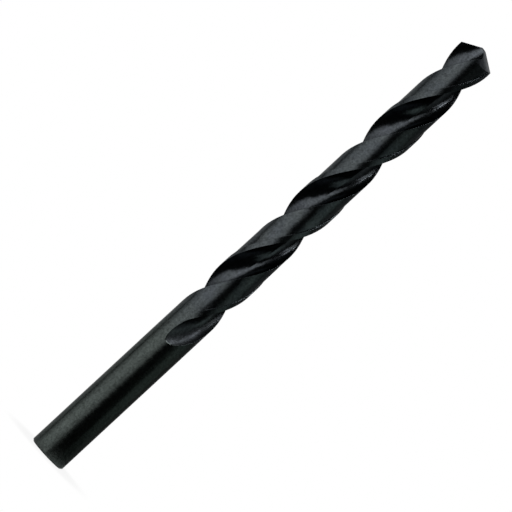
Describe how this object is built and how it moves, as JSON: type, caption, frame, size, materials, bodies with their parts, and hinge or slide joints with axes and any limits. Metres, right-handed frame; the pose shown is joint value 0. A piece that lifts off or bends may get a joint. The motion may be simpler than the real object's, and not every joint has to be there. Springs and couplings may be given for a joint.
{
  "type": "twist drill bit",
  "caption": "Straight-shank twist drill with right-hand helical flutes, narrow margins and a ground conical point, black-oxide finish.",
  "frame": {"origin": "centre of the shank's flat end face, on the drill's axis", "axes": "+Z along the drill's axis from the shank to the point, X along the two cutting lips, Y across them; the drill stands on its shank end"},
  "size_m": [0.0088, 0.0088, 0.1206],
  "materials": {
    "black_oxide_steel": "black oxide, semi-gloss"
  },
  "bodies": {
    "root": {"twist_drill": "black_oxide_steel"}
  },
  "joints": []
}
